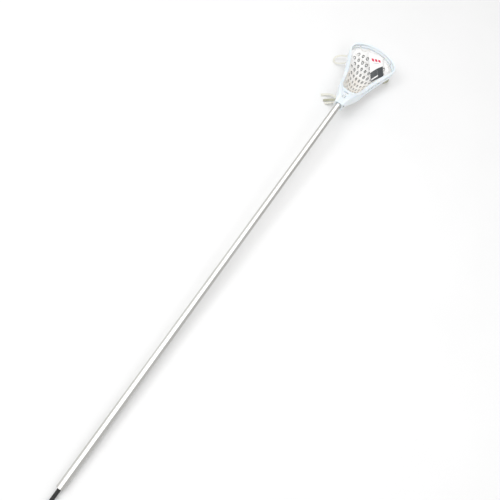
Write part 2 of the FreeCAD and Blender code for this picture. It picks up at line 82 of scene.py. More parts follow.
# the strings' zigzags: every other point is an odd one, further in or further down
SIDE_STRING_POINTS = 13
SIDE_STRING_START = 0.108
SIDE_STRING_STEP = 0.012
SIDE_STRING_INSETS = (0.0134, 0.0106)
SIDE_STRING_RISES = (0.0145, 0.0125)
LOW_HOLES = 9
LOW_HOLE_START = 0.114
LOW_HOLE_STEP = 0.017
SCOOP_STRING_POINTS = 13
SCOOP_STRING_INSETS = (0.0162, 0.0205)
SCOOP_STRING_DROPS = (0.013, 0.018)
THROAT_STRING_POINTS = 9
THROAT_STRING_STEP = 12.0   # degrees round the ball stop
THROAT_STRING_RADII = (0.0334, 0.0372)
THROAT_STRING_Z = (-0.009, -0.0115)
THROAT_STRING_DROP = 0.016

# free lace ends: where each runs once it has left the head
FREE_LACES = {
    "lace_loop_left": (
        (0.251, 0.0886, -0.0475), (0.2525, 0.102, -0.055), (0.2515, 0.1155, -0.064),
        (0.2472, 0.1255, -0.0715), (0.2375, 0.130, -0.077), (0.2276, 0.1265, -0.080),
        (0.2235, 0.1165, -0.0795), (0.224, 0.1055, -0.075), (0.2255, 0.095, -0.0675),
        (0.2255, 0.086, -0.0595), (0.223, 0.079, -0.0515),
    ),
    "throat_lace_1": (
        (0.0555, 0.004, -0.035), (0.059, 0.020, -0.043), (0.068, 0.038, -0.053), (0.075, 0.056, -0.065),
        (0.071, 0.073, -0.074), (0.060, 0.086, -0.0765),
    ),
    "throat_lace_2": (
        (0.052, 0.0048, -0.0356), (0.053, 0.020, -0.0445), (0.0545, 0.034, -0.0555),
        (0.053, 0.048, -0.066), (0.045, 0.067, -0.076),
    ),
    "throat_lace_3": (
        (0.0485, 0.004, -0.035), (0.046, 0.016, -0.0445), (0.046, 0.027, -0.0555),
        (0.0435, 0.040, -0.067), (0.037, 0.057, -0.076),
    ),
    "lace_tail_right": (
        (0.238, -0.080, -0.0555), (0.250, -0.085, -0.061), (0.263, -0.089, -0.068),
        (0.277, -0.089, -0.074), (0.290, -0.085, -0.078),
    ),
}
# the card's corners: scoop end from left to right, then the other end from right to left
CARD_CORNERS = (
    (0.2895, 0.0265, -0.014), (0.300, -0.0275, -0.014), (0.243, -0.0705, -0.0335),
    (0.197, -0.0435, -0.0425),
)
LACE_WIDTHS = {
    "lace_loop_left": 0.0065, "throat_lace_1": 0.0100, "throat_lace_2": 0.0100, "throat_lace_3": 0.0095,
    "lace_tail_right": 0.0085,
}
LACE_THICK = 0.0014
# laces in the olive material: partly their own olive tint, partly painted shade for the dark between the
# throat laces and beside the right tail
OLIVE_SHADED_LACES = ("throat_lace_2", "lace_tail_right")

# where the camera stood: place, direction to its right and upwards
CAMERA_PLACE = Vector((0.3214, -0.1930, 1.4659))
CAMERA_RIGHT = Vector((0.5481, -0.8297, 0.1055))
CAMERA_UP = Vector((0.770, 0.5499, 0.3236))
CAMERA_LENS = 36.0          # millimetres, as Blender takes them
CAMERA_SENSOR = 36.0

FLOOR_AT_BUTT = -0.0127
FLOOR_SLOPE = -0.0432       # the floor falls away below a stick that rests on its pocket


# ---- helpers ------------------------------------------------------------------

def at(x, y, z):
    """A point given from the throat's mouth."""
    return Vector((THROAT_X + x, y, z))


def natural_spline(knots, values):
    """A cubic spline through values at knots, as a function of the knot parameter."""
    t = np.array(knots, float)
    p = np.array(values, float).reshape(len(t), -1)
    n = len(t)
    h = np.diff(t)
    system = np.eye(n)
    right = np.zeros_like(p)
    for i in range(1, n - 1):
        system[i, i - 1:i + 2] = h[i - 1], 2 * (h[i - 1] + h[i]), h[i]
        right[i] = 6 * ((p[i + 1] - p[i]) / h[i] - (p[i] - p[i - 1]) / h[i - 1])
    bend = np.linalg.solve(system, right)

    def value(x):
        i = int(np.clip(np.searchsorted(t, x) - 1, 0, n - 2))
        a = (t[i + 1] - x) / h[i]
        b = (x - t[i]) / h[i]
        curved = ((a ** 3 - a) * bend[i] + (b ** 3 - b) * bend[i + 1]) * h[i] ** 2 / 6
        return a * p[i] + b * p[i + 1] + curved
    return value


def table_curve(table):
    """The second number of a table as a smooth function of the first."""
    curve = natural_spline([x for x, _ in table], [y for _, y in table])
    return lambda x: float(curve(x)[0])


half_width = table_curve(RIM)
top_edge = table_curve(TOP_EDGE)
low_edge = table_curve(LOW_EDGE)


def rim_curve():
    """The head's outline from the right of the throat round to its left, 0 to 1."""
    left = [Vector(p) for p in RIM]
    corner_x, corner_w = RIM[-1]
    for degrees in SCOOP_TURNS:
        turn = math.radians(degrees)
        left.append(Vector((corner_x + (SCOOP_TIP - corner_x) * math.sin(turn) ** (2 / SCOOP_POWER),
                            corner_w * math.cos(turn) ** (2 / SCOOP_POWER))))
    left.append(Vector((SCOOP_TIP, 0.0)))
    points = [Vector((p.x, -p.y)) for p in left[:-1]] + left[::-1]
    along = np.concatenate([[0.0], np.cumsum([(b - a).length for a, b in zip(points, points[1:])])])
    curve = natural_spline(along / along[-1], [tuple(p) for p in points])
    return lambda share: Vector(curve(share))


rim = rim_curve()


def rim_place(share, inset):
    """A point inset from the outline, as x and y from the throat's mouth."""
    place = rim(share)
    tangent = (rim(share + 0.002) - rim(share - 0.002)).normalized()
    return place.x - tangent.y * inset, place.y + tangent.x * inset


def link(name, mesh, body="stick"):
    """A new piece with that mesh, which moves with the body."""
    piece = bpy.data.objects.new(name, mesh)
    bpy.context.scene.collection.objects.link(piece)
    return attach(piece, body)


def finish_piece(piece, material, replaced=(), smooth=True):
    """Material, the CAD nodes it stands for, and smooth shading."""
    piece.data.materials.clear()
    piece.data.materials.append(material)
    if replaced:
        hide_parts(*replaced)
    if smooth:
        piece.data.polygons.foreach_set("use_smooth", [True] * len(piece.data.polygons))
    return piece


def apply_modifiers(piece):
    """Keep what the modifiers make as the piece's own mesh."""
    evaluated = piece.evaluated_get(bpy.context.evaluated_depsgraph_get())
    made = bpy.data.meshes.new_from_object(evaluated)
    piece.modifiers.clear()
    piece.data = made
    return piece


def mesh_from(name, points, faces):
    """A mesh from its points and the faces between them."""
    mesh = bpy.data.meshes.new(name)
    mesh.from_pydata([tuple(p) for p in points], [], faces)
    mesh.update()
    return mesh


def sweep(path, section, roll=None, closed=False):
    """Vertices and faces of a section carried along a path, and where each vertex lies along and round it.

    section is a list of (sideways, up) offsets. Without a roll the section is carried
    with no twist; with one, roll(share) turns it in degrees from lying flat.
    """
    count = len(path)
    points = []
    marks = []
    side = None
    travelled = 0.0
    total = sum((b - a).length for a, b in zip(path, path[1:]))
    for i, here in enumerate(path):
        before = path[i - 1] if i or closed else here
        after = path[(i + 1) % count] if i < count - 1 or closed else here
        tangent = (after - before).normalized()
        if roll is None:
            if side is None:
                side = tangent.orthogonal()
            side = (side - tangent * side.dot(tangent)).normalized()
            up = tangent.cross(side)
        else:
            flat = tangent.cross(Vector((0, 0, 1))).normalized()
            angle = math.radians(roll(travelled / total))
            lifted = flat.cross(tangent)
            side = flat * math.cos(angle) + lifted * math.sin(angle)
            up = lifted * math.cos(angle) - flat * math.sin(angle)
        for k, (across, high) in enumerate(section):
            points.append(here + side * across + up * high)
            marks.append((travelled, k / len(section)))
        if i < count - 1:
            travelled += (path[i + 1] - here).length
    around = len(section)
    rings = count if closed else count - 1
    faces = []
    for i in range(rings):
        a = i * around
        b = ((i + 1) % count) * around
        for k in range(around):
            m = (k + 1) % around
            faces.append((a + k, a + m, b + m, b + k))
    if not closed:
        faces.append(tuple(range(around))[::-1])
        faces.append(tuple(range((count - 1) * around, count * around)))
    return points, faces, marks


def swept_mesh(name, parts):
    """One mesh of several swept parts, with metres along and share round as its UV."""
    points = []
    faces = []
    marks = []
    for part_points, part_faces, part_marks in parts:
        shift = len(points)
        points += part_points
        faces += [tuple(i + shift for i in face) for face in part_faces]
        marks += part_marks
    mesh = mesh_from(name, points, faces)
    uv = mesh.uv_layers.new(name="along")
    for polygon in mesh.polygons:
        shares = [marks[v][1] for v in polygon.vertices]
        wraps = len(polygon.vertices) == 4 and max(shares) - min(shares) > 0.5
        for loop, vertex in zip(polygon.loop_indices, polygon.vertices):
            along, share = marks[vertex]
            uv.data[loop].uv = (along, share + (1.0 if wraps and share < 0.5 else 0.0))
    return mesh


def circle(radius, sides):
    """A round section for a sweep."""
    turns = [2 * math.pi * k / sides for k in range(sides)]
    return [(radius * math.cos(t), radius * math.sin(t)) for t in turns]


def flat_section(width, thick):
    """A woven lace cut across: thin, with a rounded selvedge along each side and a low ridge between."""
    w = width / 2
    t = thick / 2
    half = [(1.0, 0.0), (0.96, 0.8), (0.86, 1.0), (0.74, 0.72), (0.35, 0.66)]
    over = [(a * w, b * t) for a, b in half + [(0.0, 0.9)]]
    over += [(-a * w, b * t) for a, b in half[:0:-1]]
    under = [(-a, -b) for a, b in over]
    return over + under


def nurbs_path(name, route, resolution=10):
    """Points along the smooth line that has the route as its control points."""
    curve = bpy.data.curves.new(name, "CURVE")
    curve.dimensions = "3D"
    curve.resolution_u = resolution
    line = curve.splines.new("NURBS")
    line.points.add(len(route) - 1)
    for point, place in zip(line.points, route):
        point.co = (*place, 1.0)
    line.order_u = 3
    line.use_endpoint_u = True
    holder = bpy.data.objects.new(name, curve)
    bpy.context.scene.collection.objects.link(holder)
    bpy.context.view_layer.update()
    evaluated = holder.evaluated_get(bpy.context.evaluated_depsgraph_get())
    mesh = bpy.data.meshes.new_from_object(evaluated)
    points = [v.co.copy() for v in mesh.vertices]
    bpy.data.objects.remove(holder)
    bpy.data.meshes.remove(mesh)
    return points


# ---- materials ------------------------------------------------------------------

def new_material(name, roughness, **values):
    """A material with its constant values on the shader's own sockets."""
    material = bpy.data.materials.new(name)
    material.use_nodes = True
    tree = material.node_tree
    shader = tree.nodes["Principled BSDF"]
    shader.inputs["Roughness"].default_value = roughness
    for socket, value in values.items():
        shader.inputs[socket.replace("_", " ")].default_value = value
    return material, tree, shader


def node(tree, kind, **values):
    """A shader node with its sockets or settings set by name."""
    made = tree.nodes.new(kind)
    for key, value in values.items():
        if key in made.inputs:
            made.inputs[key].default_value = value
        else:
            setattr(made, key, value)
    return made


def ramp(tree, factor, low, high, start=0.3, end=0.7):
    """Colour that goes from low to high as factor goes from start to end."""
    made = tree.nodes.new("ShaderNodeValToRGB")
    made.color_ramp.elements[0].position = start
    made.color_ramp.elements[0].color = (*low, 1.0)
    made.color_ramp.elements[1].position = end
    made.color_ramp.elements[1].color = (*high, 1.0)
    tree.links.new(factor, made.inputs["Fac"])
    return made.outputs["Color"]


def bump(tree, shader, heights, distance, strength=1.0):
    """Fine relief from a height pattern; distance is its depth in metres."""
    made = node(tree, "ShaderNodeBump", Distance=distance, Strength=strength)
    tree.links.new(heights, made.inputs["Height"])
    tree.links.new(made.outputs["Normal"], shader.inputs["Normal"])


def noise(tree, scale, detail=3.0, stretch=None):
    """Noise in the object's own space, stretched along its axes if asked."""
    place = tree.nodes.new("ShaderNodeTexCoord")
    made = node(tree, "ShaderNodeTexNoise", Scale=scale, Detail=detail)
    if stretch:
        mapping = node(tree, "ShaderNodeMapping", Scale=stretch)
        tree.links.new(place.outputs["Object"], mapping.inputs["Vector"])
        tree.links.new(mapping.outputs["Vector"], made.inputs["Vector"])
    else:
        tree.links.new(place.outputs["Object"], made.inputs["Vector"])
    return made.outputs["Fac"]


def roughness_from(tree, shader, factor, low, high):
    """Roughness that varies between low and high with a pattern."""
    spread = node(tree, "ShaderNodeMapRange")
    spread.inputs["To Min"].default_value = low
    spread.inputs["To Max"].default_value = high
    tree.links.new(factor, spread.inputs["Value"])
    tree.links.new(spread.outputs["Result"], shader.inputs["Roughness"])


def shaft_material():
    """Bare satin alloy with faint streaks along the shaft."""
    material, tree, shader = new_material("satin_alloy", 0.18, Metallic=1.0)
    streaks = noise(tree, 90.0, 4.0, (0.12, 6.0, 6.0))
    clouds = noise(tree, 40.0, 3.0, (0.1, 1.0, 1.0))
    tree.links.new(ramp(tree, clouds, (0.58, 0.572, 0.55), (0.66, 0.652, 0.63)), shader.inputs["Base Color"])
    roughness_from(tree, shader, streaks, 0.14, 0.24)
    bump(tree, shader, streaks, 0.00001)
    return material


def rubber_material():
    """Dull black rubber with a fine grain."""
    material, tree, shader = new_material("black_rubber", 0.6)
    grain = noise(tree, 900.0, 3.0)
    colour = ramp(tree, grain, (0.008, 0.008, 0.008), (0.020, 0.020, 0.021))
    tree.links.new(colour, shader.inputs["Base Color"])
    roughness_from(tree, shader, noise(tree, 60.0), 0.5, 0.75)
    bump(tree, shader, grain, 0.0002)
    return material


def screw_material():
    """Dark steel, a little worn."""
    material, tree, shader = new_material("dark_steel", 0.35, Metallic=1.0)
    wear = noise(tree, 400.0, 4.0)
    tree.links.new(ramp(tree, wear, (0.16, 0.16, 0.17), (0.42, 0.42, 0.43)), shader.inputs["Base Color"])
    roughness_from(tree, shader, wear, 0.25, 0.5)
    return material


def plastic_material():
    """Frosted, faintly blue moulded plastic that lets a little light in."""
    material, tree, shader = new_material("frosted_plastic", 0.3)
    shader.inputs["Subsurface Weight"].default_value = 0.25
    shader.inputs["Subsurface Radius"].default_value = (0.0015, 0.002, 0.0025)
    shader.inputs["Subsurface Scale"].default_value = 1.0
    shader.inputs["Coat Weight"].default_value = 0.25
    shader.inputs["Coat Roughness"].default_value = 0.15
    clouds = noise(tree, 22.0, 2.0)
    tree.links.new(ramp(tree, clouds, (0.76, 0.83, 0.88), (0.86, 0.905, 0.935)), shader.inputs["Base Color"])
    frost = noise(tree, 1500.0, 2.0)
    roughness_from(tree, shader, noise(tree, 40.0), 0.26, 0.4)
    bump(tree, shader, frost, 0.00005)
    return material


def foam_material():
    """Pale closed-cell foam."""
    material, tree, shader = new_material("pad_foam", 0.85)
    cells = node(tree, "ShaderNodeTexVoronoi", Scale=1400.0)
    place = tree.nodes.new("ShaderNodeTexCoord")
    tree.links.new(place.outputs["Object"], cells.inputs["Vector"])
    colour = ramp(tree, cells.outputs["Distance"], (0.62, 0.62, 0.60), (0.86, 0.86, 0.84), 0.0, 0.6)
    tree.links.new(colour, shader.inputs["Base Color"])
    bump(tree, shader, cells.outputs["Distance"], 0.0003)
    return material


def fibre_material(name, light, dark, pitch, cross_pitch, depth, sheen=0.3):
    """Woven or braided fibre: ribs across the piece and ribs along it, read from its UV."""
    material, tree, shader = new_material(name, 0.75)
    shader.inputs["Sheen Weight"].default_value = sheen
    shader.inputs["Sheen Roughness"].default_value = 0.5
    place = tree.nodes.new("ShaderNodeUVMap")
    place.uv_map = "along"
    parts = tree.nodes.new("ShaderNodeSeparateXYZ")
    tree.links.new(place.outputs["UV"], parts.inputs["Vector"])
    waves = []
    for slant in (1.0, -1.0):
        along = node(tree, "ShaderNodeMath", operation="MULTIPLY")
        along.inputs[1].default_value = 2 * math.pi / pitch
        tree.links.new(parts.outputs["X"], along.inputs[0])
        across = node(tree, "ShaderNodeMath", operation="MULTIPLY_ADD")
        across.inputs[1].default_value = slant * 2 * math.pi * cross_pitch
        tree.links.new(parts.outputs["Y"], across.inputs[0])
        tree.links.new(along.outputs[0], across.inputs[2])
        wave = node(tree, "ShaderNodeMath", operation="SINE")
        tree.links.new(across.outputs[0], wave.inputs[0])
        waves.append(wave.outputs[0])
    crossed = node(tree, "ShaderNodeMath", operation="MULTIPLY")
    tree.links.new(waves[0], crossed.inputs[0])
    tree.links.new(waves[1], crossed.inputs[1])
    fuzz = noise(tree, 700.0, 4.0)
    tinted = node(tree, "ShaderNodeMath", operation="MULTIPLY_ADD")
    tinted.inputs[1].default_value = 0.22
    tree.links.new(crossed.outputs[0], tinted.inputs[0])
    tree.links.new(fuzz, tinted.inputs[2])
    tree.links.new(ramp(tree, tinted.outputs[0], dark, light, 0.25, 0.65), shader.inputs["Base Color"])
    bump(tree, shader, tinted.outputs[0], depth)
    return material


def knit_material():
    """Knitted mesh: small stitches, beige towards the throat, and painted shade, near black, in and round
    its holes, weaker towards the throat.
    """
    material, tree, shader = new_material("mesh_cord", 0.8)
    shader.inputs["Sheen Weight"].default_value = 0.3
    place = tree.nodes.new("ShaderNodeTexCoord")
    stitches = node(tree, "ShaderNodeTexVoronoi", Scale=620.0)
    tree.links.new(place.outputs["Object"], stitches.inputs["Vector"])
    clouds = noise(tree, 55.0, 3.0)
    parts = tree.nodes.new("ShaderNodeSeparateXYZ")
    tree.links.new(place.outputs["Object"], parts.inputs["Vector"])
    # 0 at the scoop end, rising to 1 towards the throat: tints the cord beige there and weakens the painted
    # hole shade
    towards_throat = node(tree, "ShaderNodeMapRange")
    towards_throat.inputs["From Min"].default_value = THROAT_X + 0.235
    towards_throat.inputs["From Max"].default_value = THROAT_X + 0.165
    tree.links.new(parts.outputs["X"], towards_throat.inputs["Value"])
    clean = ramp(tree, stitches.outputs["Distance"], (0.88, 0.86, 0.85), (0.98, 0.975, 0.97), 0.0, 0.4)
    throat_tint = ramp(tree, clouds, (0.84, 0.77, 0.68), (0.97, 0.955, 0.92), 0.35, 0.6)
    mixed = node(tree, "ShaderNodeMix", data_type="RGBA")
    tree.links.new(towards_throat.outputs["Result"], mixed.inputs["Factor"])
    tree.links.new(clean, mixed.inputs[6])
    tree.links.new(throat_tint, mixed.inputs[7])
    # painted shade: the inner ring of every open hole is darkened to near-black olive, as if in shadow, at
    # half strength towards the throat
    wall = node(tree, "ShaderNodeAttribute", attribute_name="hole_wall")
    faded = node(tree, "ShaderNodeMath", operation="MULTIPLY_ADD")
    faded.inputs[1].default_value = -0.5
    faded.inputs[2].default_value = 1.0
    tree.links.new(towards_throat.outputs["Result"], faded.inputs[0])
    depth = node(tree, "ShaderNodeMath", operation="MULTIPLY")
    tree.links.new(ramp(tree, wall.outputs["Fac"], (0.0,) * 3, (1.0,) * 3, 0.58, 0.9), depth.inputs[0])
    tree.links.new(faded.outputs[0], depth.inputs[1])
    # mix the painted shade's dark olive into the cord's colour
    shaded = node(tree, "ShaderNodeMix", data_type="RGBA")
    tree.links.new(depth.outputs[0], shaded.inputs["Factor"])
    tree.links.new(mixed.outputs[2], shaded.inputs[6])
    tree.links.new(ramp(tree, clouds, (0.014, 0.014, 0.010), (0.05, 0.05, 0.035)), shaded.inputs[7])
    tree.links.new(shaded.outputs[2], shader.inputs["Base Color"])
    bump(tree, shader, stitches.outputs["Distance"], 0.0005)
    return material


def card_material(name, light, dark, roughness=0.35):
    """Coated card stock or print, with a faint grain and slightly uneven gloss."""
    material, tree, shader = new_material(name, roughness)
    grain = noise(tree, 260.0, 3.0)
    tree.links.new(ramp(tree, grain, dark, light), shader.inputs["Base Color"])
    roughness_from(tree, shader, noise(tree, 35.0), roughness - 0.08, roughness + 0.12)
    bump(tree, shader, grain, 0.00003)
    return material


def floor_material():
    """Matt and nearly white."""
    material, tree, shader = new_material("pale_floor", 0.8)
    clouds = noise(tree, 3.0, 2.0)
    tree.links.new(ramp(tree, clouds, (0.90, 0.90, 0.90), (0.92, 0.92, 0.92)), shader.inputs["Base Color"])
    return material


WHITE_LACE = fibre_material("white_lace", (0.95, 0.94, 0.92), (0.80, 0.78, 0.75), 0.0016, 9.0, 0.0003)
# olive lace, its colours darkened as painted shade
OLIVE_SHADED_LACE = fibre_material("olive_lace", (0.60, 0.59, 0.46), (0.22, 0.22, 0.14), 0.0020, 7.0, 0.0004)
CREAM_LACE = fibre_material("cream_lace", (0.93, 0.92, 0.85), (0.62, 0.61, 0.50), 0.0018, 8.0, 0.0004)
STRING = fibre_material("round_string", (0.94, 0.93, 0.90), (0.74, 0.72, 0.68), 0.0022, 4.0, 0.0004)


# ---- camera and free laces --------------------------------------------------------

def make_camera():
    """The camera, from where the stick was seen, looking along its length from the butt."""
    data = bpy.data.cameras.new("camera")
    data.sensor_width = CAMERA_SENSOR
    data.lens = CAMERA_LENS
    data.clip_start = 0.05
    camera = bpy.data.objects.new("camera", data)
    bpy.context.scene.collection.objects.link(camera)
    right = CAMERA_RIGHT.normalized()
    up = (CAMERA_UP - right * CAMERA_UP.dot(right)).normalized()
    turned = Matrix((right, up, right.cross(up))).transposed().to_4x4()
    camera.matrix_world = Matrix.Translation(CAMERA_PLACE) @ turned
    bpy.context.scene.camera = camera


def rolled(*stops):
    """A roll angle along a lace, between (share, degrees) stops."""
    shares = [s for s, _ in stops]
    turns = [d for _, d in stops]
    return lambda share: float(np.interp(share, shares, turns))


LACE_ROLLS = {
    "lace_loop_left": rolled((0.0, 60.0), (0.25, 40.0), (0.42, 12.0), (0.62, 0.0), (0.8, 0.0), (1.0, -25.0)),
    "throat_lace_1": rolled((0.0, 50.0), (0.4, 15.0), (0.7, -8.0), (1.0, 6.0)),
    "throat_lace_2": rolled((0.0, -35.0), (0.5, 12.0), (1.0, -6.0)),
    "throat_lace_3": rolled((0.0, 20.0), (0.5, -20.0), (1.0, 8.0)),
    "lace_tail_right": rolled((0.0, -50.0), (0.5, -15.0), (1.0, 5.0)),
}


def make_free_laces():
    """Flat laces that lie free beside the head, each on the smooth line of its route."""
    for name, route in FREE_LACES.items():
        places = [at(*p) for p in route]
        path = nurbs_path(name + "_line", places)
        section = flat_section(LACE_WIDTHS[name], LACE_THICK)
        mesh = swept_mesh(name + "_woven", [sweep(path, section, LACE_ROLLS[name])])
        lace = link(name + "_woven", mesh)
        # the olive material is partly painted shade
        if name in OLIVE_SHADED_LACES:
            finish_piece(lace, OLIVE_SHADED_LACE, [name])
        else:
            finish_piece(lace, CREAM_LACE, [name])


# ---- head --------------------------------------------------------------------------

HEAD_VOXEL = 0.0009
HEAD_SOFTENING = 3          # smoothing passes, which round the moulding's edges


def make_head():
    """The CAD head as a moulding: the same shape with its edges rounded off."""
    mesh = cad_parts["head"].data.copy()
    head = link("head_moulding", mesh)
    remesh = head.modifiers.new("skin", "REMESH")
    remesh.mode = "VOXEL"
    remesh.voxel_size = HEAD_VOXEL
    soften = head.modifiers.new("soften", "SMOOTH")
    soften.factor = 0.5
    soften.iterations = HEAD_SOFTENING
    apply_modifiers(head)
    finish_piece(head, plastic_material(), ["head"])


PAD_SIDES = 20              # points round the pad's section
PAD_RINGS = 48              # sections along it
PAD_SHRINK = (0.94, 0.97, 0.985)    # share of the CAD pad's thickness, height and reach
PAD_SET_BACK = 0.0001


def rounded(turn, power):
    """The sine of turn, with its corners squared off by a power under 1."""
    return math.copysign(abs(math.sin(turn)) ** power, math.sin(turn))


def make_ball_stop():
    """A soft foam pad with rounded edges on the round end of the pocket."""
    low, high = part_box("ball_stop")
    thick = PAD_THICK * PAD_SHRINK[0]
    height = (high.z - low.z) * PAD_SHRINK[1]
    reach = math.asin(high.y / STOP_R) * PAD_SHRINK[2]
    outline = []
    for k in range(PAD_SIDES):
        turn = 2 * math.pi * k / PAD_SIDES
        outline.append((rounded(turn + math.pi / 2, 0.5) * thick / 2, rounded(turn, 0.25) * height / 2))
    rings = PAD_RINGS
    points = []
    for i in range(rings + 1):
        share = 2 * i / rings - 1
        turn = share * reach
        taper = (1 - abs(share) ** 16) ** 0.5 * 0.98 + 0.02
        for depth, up in outline:
            radius = STOP_R - PAD_THICK / 2 - PAD_SET_BACK + depth * taper
            lift = (low.z + high.z) / 2 + up * (0.8 + 0.2 * taper)
            points.append(at(STOP_CENTRE - radius * math.cos(turn), radius * math.sin(turn), lift))
    n = len(outline)
    faces = [(i * n + k, i * n + (k + 1) % n, (i + 1) * n + (k + 1) % n, (i + 1) * n + k)
             for i in range(rings) for k in range(n)]
    faces += [tuple(range(n))[::-1], tuple(range(rings * n, (rings + 1) * n))]
    pad = link("ball_stop_pad", mesh_from("ball_stop_pad", points, faces))
    finish_piece(pad, foam_material(), ["ball_stop"])


# ---- pocket -----------------------------------------------------------------------

MESH_COLUMNS = 8
MESH_ROWS = 13
MESH_THICK = 0.0024
MESH_FOOT_TURN = 46.0       # degrees of the ball stop that the mesh's foot takes on each side
MESH_TIP = 0.2995
MESH_CORNER = 0.016
HOLE_ACROSS = 0.165         # half of a hole, as shares of the column and the row
HOLE_ALONG = 0.19
HOLE_SPREAD = (0.7, 1.3)    # how much single holes are smaller or larger
HOLE_ROUNDNESS = 1.5        # 1 is a diamond, 2 an ellipse
POCKET_SIDE_STATIONS = 14
MESH_SIDE_GAP = 0.0006      # inside the edge of the CAD pocket
MESH_SEAT_GAP = 0.001       # inside the pad
MESH_FOOT_BLEND = 0.15      # share of the length over which the round foot joins the sides
MESH_BORDER = 0.3           # cells nearer the border than this, in rows or columns, have no hole
MERGE_WITHIN = 0.0004       # corners of neighbouring cells that are one and the same
COLLAPSE_UNDER = 0.0001
EMPTY_FACE = 1e-9
SKY = 0.1                   # a height above everything, from which the pocket is sounded


def pocket_tree():
    """The CAD pocket as a tree that rays can be cast against."""
    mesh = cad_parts["pocket_mesh"].data
    return BVHTree.FromPolygons([v.co for v in mesh.vertices], [tuple(p.vertices) for p in mesh.polygons])


POCKET = pocket_tree()


def sound_pocket(x, y):
    """The pocket's inner face straight below x and y, or None beside it."""
    return POCKET.ray_cast(at(x, y, SKY), Vector((0, 0, -1)))[0]


def pocket_edge(x):
    """Half width of the CAD pocket at x from the throat's mouth."""
    low, high = 0.0, 0.1
    for _ in range(18):
        middle = (low + high) / 2
        hit = sound_pocket(x, middle)
        if hit is None:
            high = middle
        else:
            low = middle
    return low


def side_table():
    """Where the mesh's sides begin, and their half width as a function of x."""
    seat = STOP_R - PAD_THICK - MESH_SEAT_GAP / 2
    foot = STOP_CENTRE - seat * math.cos(math.radians(MESH_FOOT_TURN))
    stations = np.linspace(foot, MESH_TIP - MESH_CORNER, POCKET_SIDE_STATIONS)
    return foot, table_curve([(x, pocket_edge(x) - MESH_SIDE_GAP) for x in stations])


FOOT_X, side_width = side_table()


def pocket_place(across, along):
    """A point of the mesh: across from -1 to 1, along from the ball stop (0) to the scoop (1)."""
    turn = math.radians(MESH_FOOT_TURN) * across
    seat = STOP_R - PAD_THICK - MESH_SEAT_GAP
    start = STOP_CENTRE - seat * math.cos(turn)
    end = MESH_TIP - MESH_CORNER * abs(across) ** 3
    x = start + (end - start) * along
    beside = FOOT_X + (MESH_TIP - MESH_CORNER - FOOT_X) * along
    joined = min(along / MESH_FOOT_BLEND, 1.0)
    joined = joined * joined * (3 - 2 * joined)
    y = (1 - joined) * seat * math.sin(turn) + joined * across * side_width(beside)
    hit = sound_pocket(x, y)
    if hit is None:
        hit = POCKET.find_nearest(at(x, y, -0.03))[0]
    return hit


def row_shares():
    """Shares along the pocket that are evenly spaced over its real length, as the mesh hangs."""
    shares = np.linspace(0.0, 1.0, 200)
    line = [pocket_place(0.0, s) for s in shares]
    along = np.concatenate([[0.0], np.cumsum([(b - a).length for a, b in zip(line, line[1:])])])
    return lambda row: float(np.interp(row * along[-1], along, shares))


ROW_SHARE = row_shares()


def mesh_point(column, row):
    """Lattice column and row to a point of the mesh, kept inside its border."""
    across = min(max(2 * column / MESH_COLUMNS - 1, -1.0), 1.0)
    along = min(max(row / MESH_ROWS, 0.0), 1.0)
    return pocket_place(across, ROW_SHARE(along))


def make_pocket():
    """Knotted mesh: staggered cells, each a ring of cord round its hole."""
    corner = [(0.0, 2 / 3), (0.5, 1 / 3), (0.5, -1 / 3), (0.0, -2 / 3), (-0.5, -1 / 3), (-0.5, 1 / 3)]
    border = []
    for (a, b), (c, d) in zip(corner, corner[1:] + corner[:1]):
        border += [(a, b), ((a + c) / 2, (b + d) / 2)]
    made = bmesh.new()
    painted_shade_layer = made.verts.layers.float.new("hole_wall")
    for row in range(MESH_ROWS + 1):
        shift = 0.5 * (row % 2)
        for column in range(MESH_COLUMNS + 1):
            middle = column + shift
            if middle > MESH_COLUMNS:
                continue
            inside = (MESH_BORDER < row < MESH_ROWS - MESH_BORDER
                      and MESH_BORDER < middle < MESH_COLUMNS - MESH_BORDER)
            wide = HOLE_ACROSS * random.uniform(*HOLE_SPREAD)
            tall = HOLE_ALONG * random.uniform(*HOLE_SPREAD)
            outer = []
            inner = []
            for a, b in border:
                outer.append(made.verts.new(mesh_point(middle + a, row + b)))
                turn = math.atan2(b, a)
                spread = abs(math.cos(turn)) ** HOLE_ROUNDNESS + abs(math.sin(turn)) ** HOLE_ROUNDNESS
                reach = spread ** (-1 / HOLE_ROUNDNESS)
                vertex = made.verts.new(mesh_point(
                    middle + wide * reach * math.cos(turn), row + tall * reach * math.sin(turn)))
                # the inner ring round each open hole is marked for the painted shade in the cord's material
                vertex[painted_shade_layer] = 1.0 if inside else 0.0
                inner.append(vertex)
            count = len(border)
            for k in range(count):
                m = (k + 1) % count
                made.faces.new((outer[k], outer[m], inner[m], inner[k]))
            if not inside:
                made.faces.new(inner)
    bmesh.ops.remove_doubles(made, verts=made.verts, dist=MERGE_WITHIN)
    bmesh.ops.dissolve_degenerate(made, dist=COLLAPSE_UNDER, edges=made.edges)
    flat = [f for f in made.faces if f.calc_area() < EMPTY_FACE]
    bmesh.ops.delete(made, geom=flat, context="FACES")
    loose = [v for v in made.verts if not v.link_faces]
    bmesh.ops.delete(made, geom=loose, context="VERTS")
    bmesh.ops.recalc_face_normals(made, faces=made.faces)
    mesh = bpy.data.meshes.new("pocket_knit")
    made.to_mesh(mesh)
    made.free()
    knit = link("pocket_knit", mesh)
    thick = knit.modifiers.new("thick", "SOLIDIFY")
    thick.thickness = MESH_THICK
    thick.offset = 0.0
    finer = knit.modifiers.new("rounded", "SUBSURF")
    finer.levels = 2
    finer.render_levels = 2
    apply_modifiers(knit)
    finish_piece(knit, knit_material(), ["pocket_mesh"])


SHOOTER_LIFT = 0.0008       # above the mesh
SHOOTER_WEAVE = 0.0005      # up and down from there
SHOOTER_WEAVE_STEPS = 3.2   # steps of the path in half a wave
SHOOTER_END_GAP = 0.004


